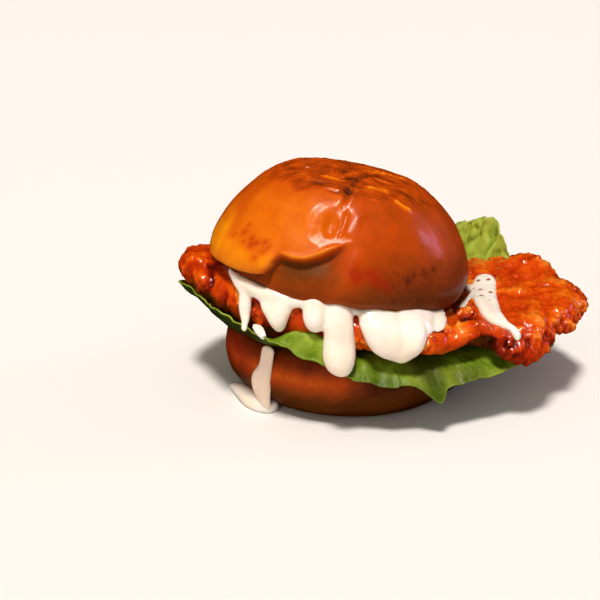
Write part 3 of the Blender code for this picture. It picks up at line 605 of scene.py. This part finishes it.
def makeFillet(material):
    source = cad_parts["fillet"]
    piece = source.copy()
    piece.data = source.data.copy()
    piece.name = "friedFillet"
    piece.data.name = "friedFillet"
    for key in list(piece.keys()):
        del piece[key]
    piece.parent = None
    bpy.context.scene.collection.objects.link(piece)
    remesh = piece.modifiers.new("remesh", "REMESH")
    remesh.mode = "VOXEL"
    remesh.voxel_size = fillet["voxel"] * mm
    smooth = piece.modifiers.new("smooth", "SMOOTH")
    smooth.factor = 0.6
    smooth.iterations = 10
    applyModifiers(piece)

    points = pointsOf(piece)
    # the wing's front lobe hangs lower
    hang = np.exp(-((points[:, 0] - 68) / 12) ** 2 - ((points[:, 1] + 40) / 8) ** 2)
    points[:, 2] -= 4.5 * hang * ease(39, 31, points[:, 2])
    # and beside it a gap opens under the curl
    gap = np.exp(-((points[:, 0] - 50) / 5.5) ** 2) * ease(-37, -41, points[:, 1])
    points[:, 2] += 4.5 * gap * ease(38, 29.5, points[:, 2])
    movePoints(piece, points)
    normals = normalsOf(piece)
    outside = ease(45, 53, np.hypot(points[:, 0] - crown["centre"][0], points[:, 1]))  # beyond the crown's shelter
    warped = points + 1.8 * np.column_stack([noiseOf(points, 8, seed) for seed in (31, 32, 33)])
    broad = lumpsOf(warped, 13, 34)
    middle = lumpsOf(warped * [1.0, 0.75, 1.0], 6.0, 35)
    small = lumpsOf(warped * [1.0, 0.62, 1.0], 2.6, 36)
    # meat fibres run outwards under the coating
    fan = np.degrees(np.arctan2(points[:, 1] + 10, points[:, 0] - 35))
    reach = np.hypot(points[:, 1] + 10, points[:, 0] - 35)
    fibres = noiseOf(np.column_stack([fan * 0.55 + 2 * noiseOf(points, 9, 40), reach * 0.25, points[:, 2] * 0.3]), 2.4, 38)
    wrinkled = ease(-0.1, 0.5, noiseOf(points, 11, 39))  # some places are wrinkled, others smooth
    wingTop = ease(58, 64, points[:, 0]) * ease(92, 84, points[:, 0]) * ease(35, 38, points[:, 2])
    wrinkled = wrinkled * (1 - 0.6 * wingTop)
    wrinkled = np.maximum(wrinkled, 0.85 * ease(55, 62, points[:, 0]) * ease(38, 35, points[:, 2]))
    drawn = points * [1.0, 0.62, 1.0]  # the coating is drawn out towards the front
    blisters = np.clip(noiseOf(drawn, 4.0, 44) - 0.12, 0, 1) * blendOf(0.6, 2.4, wingTop)
    crumbs = np.clip(1.6 * noiseOf(drawn, 2.1, 41), 0, 1) + 0.5 * np.clip(1.6 * noiseOf(drawn, 1.2, 42), 0, 1)
    push = 1.1 * (broad - 0.45) + blendOf(0.35, 0.9, wrinkled) * (middle - 0.45)
    push += blendOf(0.16, 0.5, wrinkled) * (small - 0.45) + 0.10 * fibres * ease(50, 62, points[:, 0]) + blisters
    push += 0.7 * noiseOf(points, 18, 37) + blendOf(0.35, 1.1, wrinkled) * (crumbs - 0.2)
    for x, y, z, radius, height in fillet["lumps"]:
        away = np.linalg.norm(points - [x, y, z], axis=1) / radius
        push += height * np.exp(-away ** 2)
    cut = np.zeros(len(points))
    for height, width, stops in fillet["folds"]:
        stroke = strokeOf(points, smoothLine(stops, 6 * len(stops)), width)
        push += height * stroke
        cut += max(-height, 0) * stroke
    push *= blendOf(0.2, 1.0, outside)
    reliefAndShade = 0.50 + 0.30 * (broad - 0.45) + 0.42 * wrinkled * (middle - 0.45) + 0.25 * wrinkled * (small - 0.45)
    reliefAndShade += 0.20 * wrinkled * crumbs
    # crevices are darker: painted shade
    reliefAndShade -= 0.22 * cut
    # the front and left faces are darker: painted shade from the crown above them
    reliefAndShade -= 0.26 * ease(-10, -34, points[:, 0]) * ease(50, 44, points[:, 2])
    reliefAndShade += 0.07 * ease(70, 88, points[:, 0]) + 0.08 * ease(26, 34, points[:, 0]) * ease(-44, -49, points[:, 1])
    points = points + normals * push[:, None]
    # painted shade under the curl, under the wing's lower lobe and low on the wing's front
    lobe = np.exp(-((points[:, 0] - 57) / 5) ** 2) * ease(-36, -40, points[:, 1]) * ease(37, 33, points[:, 2])
    under = np.exp(-((points[:, 0] - 50) / 8) ** 2) * ease(-15, -30, points[:, 1]) * ease(37, 34, points[:, 2])
    reliefAndShade -= 0.4 * np.maximum(under, 0.5 * lobe) + 0.14 * ease(48, 60, points[:, 0]) * ease(36, 32, points[:, 2])
    movePoints(piece, points)
    piece.data.shade_smooth()
    piece.data.materials.clear()
    piece.data.materials.append(material)
    setMask(piece, "reliefAndShade", np.clip(reliefAndShade, 0, 1))
    setMask(piece, "wrinkled", wrinkled)
    place(piece, "fried_chicken", "fillet")
    return piece


# the lettuce: two leaves pressed flat between heel and fillet, which bend up or down beyond them


lettuce = {
    "level": 28.4, "root": 46.0, "thickness": 0.7, "step": 0.5, "rows": 84,
    "front": {
        "bend": 2.0, "ruffle": 1.4, "torn": 0.8, "light": 0.0, "paleRim": 0.15, "shaded": 0.85, "crumple": 0.0,
        "humps": ((256, 11, 9.0), (246, 8, 3.0)),
        # degrees and reach of a painted shadow, its size in degrees and in reach, and how dark it is
        "paintedShadows": ((301, 0.55, 9, 0.6, 0.85), (311, 0.15, 12, 0.35, 1.0), (291, 0.2, 8, 0.25, 0.7),
                    (281, 0.5, 4, 0.4, 0.4), (268, 0.75, 5, 0.2, 0.5), (297, 1.0, 10, 0.2, 0.5),
                    (313, 0.95, 8, 0.3, 0.6), (283, 1.0, 6, 0.2, 0.5), (320, 0.5, 6, 0.4, 0.45)),
        "rim": (  # degrees, radius and height of the leaf's rim
            (176, 70, 38.5), (182, 72.5, 41), (189, 67.5, 42), (197, 65, 42), (206, 63.5, 41.5),
            (216, 61.5, 40.5), (226, 61, 39.5), (236, 60.5, 38), (246, 59.5, 35.5), (254, 58, 31),
            (261, 57.5, 28), (268, 57.5, 25), (277, 59, 22.5), (286, 61, 20.5), (293, 62, 21),
            (298, 65, 16.5), (301.5, 67, 14.5), (305, 66, 18.5), (312, 67.5, 19.5), (320, 71, 21),
            (330, 77, 22.5), (340, 83, 23.4), (350, 85, 24.5), (360, 82, 26), (370, 76, 27.5),
            (380, 66, 28),
        ),
    },
    "back": {
        "bend": 4.0, "ruffle": 2.4, "torn": 2.4, "light": 0.95, "paleRim": 0.5, "shaded": 0.0, "crumple": 1.0, "humps": (),
        "paintedShadows": (),
        "rim": (
            (26, 80.5, 34), (29, 80.5, 42), (32, 80.5, 50), (37, 79.5, 54.5), (44, 76.5, 55), (51, 72, 52),
            (60, 68, 44), (71, 64, 35), (84, 61, 27), (98, 60, 23), (112, 61, 21.5), (128, 60, 24),
            (142, 62, 28), (155, 65, 32), (168, 66, 35),
        ),
    },
}


def makeLeaf(name, leaf, material, node, seed):
    table = smoothLine(leaf["rim"], 600)
    degrees = np.arange(leaf["rim"][0][0], leaf["rim"][-1][0], lettuce["step"])
    rimRadius = np.interp(degrees, table[:, 0], table[:, 1])
    rimHeight = np.interp(degrees, table[:, 0], table[:, 2])
    rows = lettuce["rows"]
    share = 1 - (1 - np.linspace(0, 1, rows)) ** 1.5
    turn = np.radians(degrees)[:, None]
    # a torn, slightly toothed rim
    ring = np.column_stack([60 * np.cos(turn[:, 0]), 60 * np.sin(turn[:, 0]), np.zeros(len(degrees))])
    rimRadius = rimRadius + leaf["torn"] * (0.6 * noiseOf(ring, 3.5, seed) + 0.4 * noiseOf(ring, 1.5, seed + 1))
    radius = 6 + (rimRadius[:, None] - 6) * share
    beyond = np.clip((radius - lettuce["root"]) / (rimRadius[:, None] - lettuce["root"]), 0, None)
    height = lettuce["level"] + (rimHeight[:, None] - lettuce["level"]) * beyond ** leaf["bend"]
    for centre, width, rise in leaf["humps"]:  # places where the leaf rises before it falls to its rim
        height = height + rise * np.exp(-((degrees[:, None] - centre) / width) ** 2) * ease(0, 0.5, beyond) * ease(
            1.0, 0.6, beyond)
    points = np.stack([radius * np.cos(turn), radius * np.sin(turn), height], axis=2).reshape(-1, 3)
    reach = beyond.ravel()
    free = ease(0.12, 0.75, reach)
    # veins branch outwards: raised pale lines between puckered fields
    fan = np.degrees(np.broadcast_to(turn, radius.shape).ravel())
    lines = np.column_stack([fan * 1.1 + 3 * noiseOf(points, 12, seed + 6), radius.ravel() * 0.25, reach * 0])
    vein = np.exp(-(noiseOf(lines, 7.0, seed + 4) / 0.09) ** 2)
    branch = np.exp(-(noiseOf(lines * [1, 4, 1], 4.2, seed + 5) / 0.12) ** 2)
    pucker = np.column_stack([noiseOf(points * [1, 1, 0.5], size, seed + turnSeed) * strength
                              for turnSeed, size, strength in ((7, 9, 0.5), (8, 9, 0.5), (9, 10, 1.0))])
    fine = np.column_stack([noiseOf(points * [1, 1, 0.5], 4, seed + turnSeed) for turnSeed in (10, 11, 12)])
    points += leaf["ruffle"] * free[:, None] * (pucker + 0.35 * fine)
    # sharp crumples, like paper pressed together
    slanted = points @ np.array([[1, 0, 0.35], [0, 1, 0], [-0.45, 0, 0.45]])
    creased = 0.9 * np.abs(noiseOf(lines * [1, 1.8, 1], 5.0, seed + 14)) + 0.5 * np.abs(noiseOf(slanted, 2.8, seed + 15))
    creased += 0.25 * np.abs(noiseOf(slanted, 1.5, seed + 16))
    outwards = np.column_stack([np.cos(np.radians(fan)), np.sin(np.radians(fan)), 0 * fan + 0.35])
    points += outwards * (leaf["crumple"] * free * 4.0 * (creased - 0.35))[:, None]
    # painted shadows: dark patches where the leaf lies in the fillet's shade
    dark = np.zeros(len(points))
    for degree, middle, size, depth, strength in leaf["paintedShadows"]:
        aside, inwards = (fan + 1.5 * noiseOf(points, 6, seed + 16) - degree) / size, (reach - middle) / depth
        dark = np.maximum(dark, strength * np.exp(-aside ** 2 - inwards ** 2))
    points[:, 2] += (0.14 * vein + 0.07 * branch) * ease(0.05, 0.4, reach)
    # the pale mask is darker in the creases of the crumples and lighter on their ridges: painted shade
    piece = makePiece(name, points, gridFaces(len(degrees), rows, closed=False), material, {
        "rim": leaf["paleRim"] * ease(0.965, 1.0, reach),
        "pale": 0.44 + 0.10 * vein + 0.06 * branch + 0.35 * noiseOf(points, 14, seed + 13) + leaf["light"]
                + leaf["crumple"] * 1.3 * (0.35 - creased),
        "paintedShadow": dark,
    })
    sheet = piece.modifiers.new("thickness", "SOLIDIFY")
    sheet.thickness = lettuce["thickness"] * mm
    sheet.offset = 0.0
    applyModifiers(piece)
    # painted shade on the down-turned left part, joined with the painted shadows, makes the under mask
    left = ease(-20, -40, pointsOf(piece)[:, 0])
    paintedShadow = np.empty(len(piece.data.vertices), np.float32)
    piece.data.attributes["paintedShadow"].data.foreach_get("value", paintedShadow)
    setMask(piece, "under", np.maximum(left * ease(0.15, -0.15, normalsOf(piece)[:, 2]) * leaf["shaded"], paintedShadow))
    place(piece, "lettuce", node)
    return piece


# the white sauce: poured over the fillet, it hangs in runs, and is built as a union of many small balls


pouring = {
    "step": 0.6, "voxel": 0.56, "blend": 0.7, "swell": 0.6,
    "slack": 0.12,  # how far the sauce swings back under a bulge, for each millimetre down
    # x, height, half width and thickness along each run, from the top down
    "rim": (
        (-46.9, 56.0, 0.4, 1.2), (-45, 54.8, 1.2, 1.6), (-42, 52.8, 2.2, 2.2), (-37.7, 52.3, 2.4, 2.4),
        (-32.9, 51.0, 2.4, 2.6), (-27.4, 50.2, 2.2, 2.8), (-22.1, 49.6, 1.7, 2.4), (-17.1, 49.8, 1.3, 2.2),
        (-12.3, 48.9, 1.7, 2.4), (-7.1, 48.4, 1.3, 2.0), (-1.5, 47.8, 1.6, 2.2), (4, 46.4, 0.7, 1.4),
        (8.5, 44.2, 2.0, 2.4), (15.3, 43.2, 2.4, 2.8), (22.1, 42.8, 2.4, 2.8), (27.2, 42.3, 2.3, 2.6),
        (30.4, 41.6, 1.6, 2.0), (33, 41.2, 0.9, 1.6), (35.6, 40.8, 0.6, 1.4),
    ),
    "runs": (
        ((-40.4, 51.8, 2.0, 2.2), (-40, 49, 2.0, 2.2), (-40, 45.8, 2.1, 2.3), (-40, 43.1, 1.9, 2.2),
         (-39.7, 41, 1.2, 1.6), (-39.7, 39.6, 0.5, 0.9)),
        ((-39.8, 39.4, 0.4, 0.9), (-39.9, 38.4, 0.7, 1.2)),
        ((-28.1, 49.4, 4.0, 2.8), (-27.7, 48.0, 4.8, 3.0), (-27.1, 45.8, 4.3, 3.2), (-26.7, 42.9, 3.2, 3.2),
         (-26.4, 40.6, 1.9, 2.6)),
        ((-30.5, 50.0, 3.0, 2.6), (-29.4, 47.6, 3.4, 2.6)),
        ((-24.0, 49.4, 2.6, 2.6), (-24.8, 47.2, 2.6, 2.6)),
        ((-13, 49.2, 2.6, 2.6), (-12.9, 48.4, 3.8, 3.2), (-12.9, 45.2, 3.9, 3.8), (-12.5, 43.0, 3, 3.4)),
        ((-4.1, 48.6, 2.8, 2.8), (-3.7, 46.2, 4.4, 3.4), (-3.6, 40.9, 5, 3.8), (-3.5, 35.3, 5.6, 4.4),
         (-3.2, 31.4, 5.6, 4.8), (-2.2, 28.6, 3.7, 4.2)),
        ((9.0, 44.0, 4.8, 3.2), (10.8, 41.4, 5.3, 3.8), (13.4, 37.8, 5.6, 4.0), (16.6, 35.0, 4.6, 3.8),
         (19.6, 32.6, 3.4, 3.8)),
        ((22.0, 43.4, 5.4, 3.2), (23.2, 40.2, 5.4, 3.8), (22.8, 37.0, 5.2, 4.0), (20.8, 33.6, 3.6, 3.8)),
        ((13.7, 41.8, 5.2, 3.4), (15.4, 37.1, 5.2, 4.0)),
        ((26.4, 42.2, 3.4, 3.2), (28.6, 41.4, 2.8, 2.8), (29.6, 40.4, 1.6, 2.2)),
        ((32.6, 40.4, 1.0, 1.8), (34.6, 40.1, 1.4, 2.0), (36.4, 39.9, 1.0, 1.8)),
    ),
    "leafDrop": (((-35.8, 39.3, 0.5, 0.8), (-33.6, 38.5, 1.1, 1.0), (-32.2, 37.5, 0.8, 0.9)),),
    "heelDrip": (
        ((-31.2, 27.4, 2.1, 1.2), (-31.6, 24.6, 2.1, 1.4), (-32.2, 21, 2.2, 1.5), (-33.0, 18, 2.6, 1.6),
         (-34.2, 14.4, 3.4, 1.6), (-34.3, 11, 3.6, 1.6), (-33.6, 6.4, 2.6, 1.7), (-33.0, 2, 2.2, 2.0)),
    ),
    # x, y, half width and thickness on the floor
    "puddle": (
        ((-48.0, -18.6, 1.4, 1.6), (-45.6, -21.6, 2.6, 2.6), (-42, -27.4, 3.4, 3.4), (-38, -32.4, 4.6, 3.8),
         (-34, -35.5, 5.2, 4.0), (-32.2, -37.5, 4.2, 3.6)),
        ((-37.6, -24, 2.0, 2.0), (-37, -28, 3.4, 2.8), (-35, -33, 4.8, 3.6)),
    ),
    # x, y, half width and thickness on the fillet's wing
    "patch": (
        ((57.4, 7.6, 3.8, 2.4), (56.6, 2.0, 4.6, 2.4), (55.2, -6.0, 5.0, 2.4), (54.8, -13.0, 5.0, 2.4),
         (55.4, -21.0, 4.4, 2.4), (56.0, -28.0, 3.8, 2.4), (57.4, -33.0, 3.2, 2.4), (60.0, -35.6, 1.8, 2.0),
         (62.6, -37.0, 1.2, 1.6), (64.4, -39.6, 1.2, 1.6)),
        ((53.6, -1.0, 2.8, 2.2), (51.0, 2.6, 1.6, 1.8), (49.8, 5.6, 0.8, 1.2)),
        ((52.4, -8.6, 2.8, 2.2), (49.6, -9.8, 1.7, 1.8), (47.2, -14.0, 1.1, 1.4), (45.4, -18.6, 0.9, 1.4)),
    ),
    # specks in the patch where the coating shows through: x, y and radius
    "specks": ((54.3, 4.5, 0.8), (58.4, 3.6, 0.85), (54.1, -5.3, 0.9), (57.8, -9.0, 0.9), (53.6, -12.6, 0.85),
               (51.6, -2.4, 0.5), (56.4, -17.4, 0.45)),
}


def treeOf(*pieces):
    corners, faces = [], []
    for piece in pieces:
        first = len(corners)
        corners.extend(pointsOf(piece).tolist())
        faces.extend([first + index for index in face.vertices] for face in piece.data.polygons)
    return BVHTree.FromPolygons(corners, faces)


def ringDepth(x):  # y where the crown's front edge rests, seen from the front
    return -np.sqrt(np.clip(49.5 ** 2 - (x - crown["centre"][0]) ** 2, 100, None))


def frontDrape(tree, low, high):  # y of a sheet that hangs over what the tree holds, read at any x and height
    xs = np.arange(low[0] - 6, high[0] + 7, 1.0)
    heights = np.arange(high[1] + 6, low[1] - 7, -1.0)
    depth = np.empty((len(heights), len(xs)))
    for column, x in enumerate(xs):
        last = None
        for row, height in enumerate(heights):
            hit = tree.ray_cast(Vector((x, -150, height)), Vector((0, 1, 0)))[0]
            here = hit.y if hit else (ringDepth(x) if last is None else last + pouring["slack"])
            if last is not None:
                here = min(here, last + pouring["slack"])
            last = here
            depth[row, column] = here
    # the sheet lies over the outermost crags within a millimetre
    padded = np.pad(depth, 1, mode="edge")
    near = [padded[down:down + depth.shape[0], along:along + depth.shape[1]] for down in (0, 1, 2) for along in (0, 1, 2)]
    depth = np.min(near, axis=0)
    for axis, passes in ((0, 3), (1, 5)):
        for _ in range(passes):
            padded = np.concatenate([depth.take([0], axis), depth, depth.take([-1], axis)], axis)
            count = depth.shape[axis]
            depth = sum(padded.take(np.arange(count) + shift, axis) for shift in (0, 1, 2)) / 3
    def read(x, height):
        column = np.clip(x - xs[0], 0, len(xs) - 1.001)
        row = np.clip(heights[0] - height, 0, len(heights) - 1.001)
        left, above = column.astype(int), row.astype(int)
        right, down = column - left, row - above
        upper = blendOf(depth[above, left], depth[above, left + 1], right)
        lower = blendOf(depth[above + 1, left], depth[above + 1, left + 1], right)
        return blendOf(upper, lower, down)
    return read


def fillOf(strokes, step):  # points of a flat grid inside the strokes, with radius and thickness for a ball on each
    rows = np.vstack([np.array(stroke, float) for stroke in strokes])
    low = (rows[:, :2] - rows[:, 2:3]).min(axis=0) - pouring["swell"]
    high = (rows[:, :2] + rows[:, 2:3]).max(axis=0) + pouring["swell"]
    axes = [np.arange(low[axis], high[axis] + step, step) for axis in (0, 1)]
    grid = np.stack(np.meshgrid(*axes), axis=-1).reshape(-1, 2)
    total = np.zeros(len(grid))
    thick = np.zeros(len(grid))
    for stroke in strokes:
        line = smoothLine(stroke, 5 * len(stroke))
        depth = np.full(len(grid), -9.0)
        stout = np.zeros(len(grid))
        for start, end in zip(line[:-1], line[1:]):
            along = end[:2] - start[:2]
            share = np.clip((grid - start[:2]) @ along / (along @ along), 0, 1)
            away = np.linalg.norm(grid - start[:2] - share[:, None] * along, axis=1)
            here = blendOf(start[2], end[2], share) + pouring["swell"] - away
            better = here > depth
            depth[better] = here[better]
            stout[better] = blendOf(start[3], end[3], share)[better]
        weight = np.exp(depth / pouring["blend"])
        total += weight
        thick += weight * stout
    depth = pouring["blend"] * np.log(total)
    inside = depth > 0.3
    return grid[inside], depth[inside], (thick / total)[inside]


def joinBalls(name, centres, radii, flatten, material, voxel):  # many balls remeshed into one smooth body
    ball = bmesh.new()
    bmesh.ops.create_icosphere(ball, subdivisions=2, radius=1.0)
    unit = np.array([vertex.co[:] for vertex in ball.verts])
    corners = np.array([[vertex.index for vertex in face.verts] for face in ball.faces])
    ball.free()
    points = centres[:, None, :] + unit[None] * radii[:, None, None] * np.asarray(flatten, float)
    faces = corners[None] + (np.arange(len(centres)) * len(unit))[:, None, None]
    piece = makePiece(name, points.reshape(-1, 3), faces.reshape(-1, 3).tolist(), material)
    remesh = piece.modifiers.new("remesh", "REMESH")
    remesh.mode = "VOXEL"
    remesh.voxel_size = voxel * mm
    smooth = piece.modifiers.new("smooth", "SMOOTH")
    smooth.factor = 0.6
    smooth.iterations = 10
    applyModifiers(piece)
    piece.data.shade_smooth()
    return piece


def keepAbove(piece):  # nothing reaches under the ground
    points = pointsOf(piece)
    points[:, 2] = np.maximum(points[:, 2], 0.02)
    movePoints(piece, points)


def pourDown(name, strokes, tree, material, sink=0.35):  # sauce on a face that is seen from the front
    grid, depth, thick = fillOf(strokes, pouring["step"])
    radii = np.minimum(depth, thick)
    drape = frontDrape(tree, grid.min(axis=0), grid.max(axis=0))
    y = drape(grid[:, 0], grid[:, 1]) - sink * radii
    centres = np.column_stack([grid[:, 0], y, grid[:, 1]])
    return centres, radii


def pourOnto(strokes, tree, sink=0.2):  # sauce on a face that is seen from above
    grid, depth, thick = fillOf(strokes, pouring["step"])
    radii = np.minimum(depth, thick)
    level = []
    for x, y in grid:
        hits = [tree.ray_cast(Vector((x + dx, y + dy, 150)), Vector((0, 0, -1)))[0]
                for dx in (-2.4, -1.2, 0, 1.2, 2.4) for dy in (-2.4, -1.2, 0, 1.2, 2.4)]
        level.append(np.mean([hit.z for hit in hits if hit]))
    centres = np.column_stack([grid, np.array(level) + sink * radii])
    return centres, radii


def makeSauce(material, thinMaterial):
    over = treeOf(friedFillet, frontLeaf)
    centres, radii = pourDown("", (pouring["rim"], *pouring["runs"]), over, material)
    # the layer under the crown
    axes, origin = crownFrame()
    flat = np.stack(np.meshgrid(np.arange(-48, 48, 1.5), np.arange(-48, 48, 1.5)), axis=-1).reshape(-1, 2)
    flat = flat[np.hypot(flat[:, 0], flat[:, 1]) < 46]
    layer = np.column_stack([flat, np.full(len(flat), -1.2)]) @ axes.T + origin
    layer = layer[layer[:, 0] < 38]
    layer = layer[layer[:, 1] < 40]
    centres = np.vstack([centres, layer])
    radii = np.concatenate([radii, np.full(len(layer), 1.3)])
    curtain = joinBalls("sauceCurtain", centres, radii, (1, 1, 1), material, pouring["voxel"])
    place(curtain, "white_sauce", "white_sauce")

    patch = joinBalls("saucePatch", *pourOnto(pouring["patch"], treeOf(friedFillet)), (1, 1, 0.8), material, 0.4)
    points = pointsOf(patch)
    speck = np.zeros(len(points))
    for x, y, radius in pouring["specks"]:
        speck = np.maximum(speck, ease(1.3, 0.6, np.hypot(points[:, 0] - x, (points[:, 1] - y) * 0.7) / radius))
    movePoints(patch, points - np.array([0, 0, 0.6]) * speck[:, None])
    setMask(patch, "speck", speck)
    place(patch, "white_sauce", "sauce_patch")

    drop = joinBalls("leafDrop", *pourDown("", pouring["leafDrop"], over, material), (1, 1, 1), material, 0.3)
    place(drop, "white_sauce")
    under = treeOf(heelBun)
    drip = joinBalls("heelDrip", *pourDown("", pouring["heelDrip"], under, material, -0.15), (1, 1, 1), thinMaterial, 0.35)
    keepAbove(drip)
    place(drip, "white_sauce")

    grid, depth, thick = fillOf(pouring["puddle"], pouring["step"])
    radii = np.minimum(depth, thick)
    level = radii * 0.6 + 0.05
    puddle = joinBalls("saucePuddle", np.column_stack([grid, level]), radii, (1, 1, 0.75), material, 0.4)
    keepAbove(puddle)
    place(puddle, "white_sauce")


def creamyDressing(name, tint, clear):  # a mayonnaise-like dressing: opaque cream with a soft, wet gloss
    material, shader = newMaterial(name, Roughness=0.25, IOR=1.4, Subsurface_Weight=0.5, Coat_Weight=0.3,
                                   Coat_Roughness=0.1, Subsurface_Scale=1.0)
    shader.inputs["Subsurface Radius"].default_value = (4.0 * mm, 2.0 * mm, 1.0 * mm)
    place = addNode(material, "TexCoord").outputs["Object"]
    clouds = addNode(material, "TexNoise", {"Scale": 1 / (12 * mm), "Detail": 3.0}, {"Vector": place})
    cream = addNode(material, "ValToRGB", None, {"Fac": clouds.outputs["Fac"]}, stops=[
        (0.35, tint[0]), (0.65, tint[1]),
    ])
    speck = addNode(material, "Attribute", attribute_name="speck").outputs["Fac"]
    specked = addNode(material, "MixRGB", {"Color2": hexColour("#8E4418")}, {"Fac": speck, "Color1": cream.outputs["Color"]})
    material.node_tree.links.new(specked.outputs["Color"], shader.inputs["Base Color"])
    return material


# stage, camera and light


def makeStage():
    material, shader = newMaterial("paleBoard", Roughness=0.9)
    shader.inputs["Base Color"].default_value = hexColour("#E9E7E4")
    size = 12000
    corners = [(-size, -size, 0), (size, -size, 0), (size, size, 0), (-size, size, 0)]
    floor = makePiece("floor", corners, [(0, 1, 2, 3)], material)
    floor.visible_glossy = False  # or the floor would grey every glossy side
    # a far round wall, only for the eye, so that low views end on the same pale shade
    paper = bpy.data.materials.new("palePaper")
    paper.use_nodes = True
    paper.node_tree.nodes.remove(paper.node_tree.nodes["Principled BSDF"])
    glow = addNode(paper, "Emission", {"Color": hexColour("#FFF6F0"), "Strength": 0.83})
    output = paper.node_tree.nodes["Material Output"]
    paper.node_tree.links.new(glow.outputs["Emission"], output.inputs["Surface"])
    sides = 64
    turn = np.radians(np.tile(np.arange(sides) * 360 / sides, 2))
    level = np.repeat([-10, 0.6 * size], sides)
    ring = np.column_stack([0.95 * size * np.cos(turn), 0.95 * size * np.sin(turn), level])
    wall = makePiece("wall", ring, gridFaces(2, sides, closed=True), paper)
    for way in ("visible_diffuse", "visible_glossy", "visible_transmission", "visible_shadow"):
        setattr(wall, way, False)


def makeCamera():
    view = {"place": (0.0, -389.71, 181.73), "turn": 3.085, "down": 20.89, "lens": 58.82}
    data = bpy.data.cameras.new("camera")
    data.lens = view["lens"]
    data.sensor_width = 36.0
    data.clip_start = 0.01
    camera = bpy.data.objects.new("camera", data)
    camera.location = Vector(view["place"]) * mm
    camera.rotation_euler = (math.radians(90 - view["down"]), 0, math.radians(view["turn"]))
    bpy.context.scene.collection.objects.link(camera)
    bpy.context.scene.camera = camera


lights = {
    # where each light comes from, its strength in W/m2, how wide it looks in degrees, its colour, and if it glints
    "softKey": ((-0.085, -0.27, 0.954), 2.5, 11, "#FFF8F0", True),
    "coolSide": ((0.85, 0.36, 0.38), 0.3, 14, "#CCBCFF", True),
    "frontFill": ((-0.35, -0.85, 0.38), 0.62, 40, "#FFF0E0", False),
}


def makeLights():
    for name, (towards, strength, width, colour, glints) in lights.items():
        data = bpy.data.lights.new(name, "SUN")
        data.energy = strength
        data.angle = math.radians(width)
        data.color = hexColour(colour)[:3]
        light = bpy.data.objects.new(name, data)
        light.visible_glossy = glints
        light.rotation_euler = Vector(towards).to_track_quat("Z", "Y").to_euler()
        bpy.context.scene.collection.objects.link(light)
    world = bpy.data.worlds.new("studio")
    bpy.context.scene.world = world
    world.cycles_visibility.glossy = False  # a pale room mirrored in the gloss would veil the deep colours
    world.use_nodes = True
    background = world.node_tree.nodes["Background"]
    background.inputs["Color"].default_value = hexColour("#F4F3F2")
    background.inputs["Strength"].default_value = 0.24
    bpy.context.scene.view_settings.view_transform = "Standard"
    bpy.context.scene.view_settings.look = "Medium High Contrast"


say("materials")
crust = eggWashedCrust()
chickenCoat = hotSauceCrust()
leafGreen = freshLeaf()
say("bun")
crownBun = makeCrown(crust)
heelBun = makeHeel(crust)
say("fillet")
friedFillet = makeFillet(chickenCoat)
say("lettuce")
frontLeaf = makeLeaf("frontLeaf", lettuce["front"], leafGreen, "lettuce_front", 51)
backLeaf = makeLeaf("backLeaf", lettuce["back"], leafGreen, "lettuce_back", 61)
say("sauce")
makeSauce(creamyDressing("creamyDressing", ("#F6E4D4", "#FAEEE4"), 0), creamyDressing("thinDressing", ("#F0D2BC", "#F6DDCC"), 0))
say("stage, camera and light")
makeStage()
makeCamera()
makeLights()
